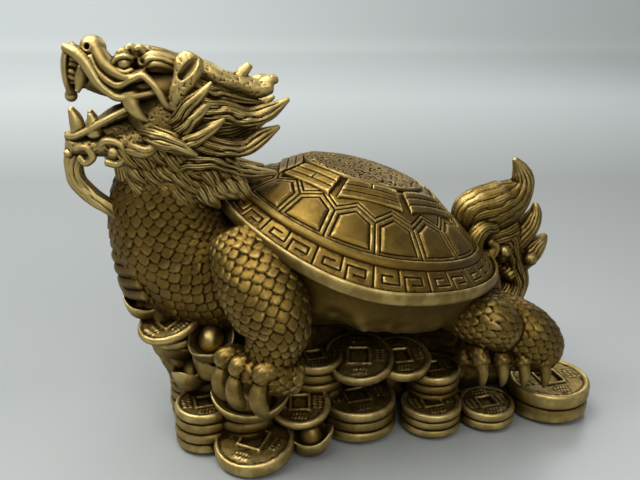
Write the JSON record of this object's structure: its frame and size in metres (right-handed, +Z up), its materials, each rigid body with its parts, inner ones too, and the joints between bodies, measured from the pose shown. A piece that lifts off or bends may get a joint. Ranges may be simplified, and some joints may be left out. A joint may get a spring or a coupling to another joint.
{
  "type": "dragon turtle figure",
  "caption": "Cast brass dragon turtle with a domed, fret-bordered shell, standing on a heap of coins and boat-shaped ingots with a flat underside.",
  "frame": {"origin": "middle of the figure's bounding box in plan, at the flat underside", "axes": "+Z up, -Y the way the head faces, +X the turtle's left side"},
  "size_m": [0.188, 0.314, 0.2419],
  "materials": {
    "antique_brass": "polished high spots, dark brown patina in the recesses"
  },
  "bodies": {
    "root": {"dragon_turtle": "antique_brass"}
  },
  "joints": []
}
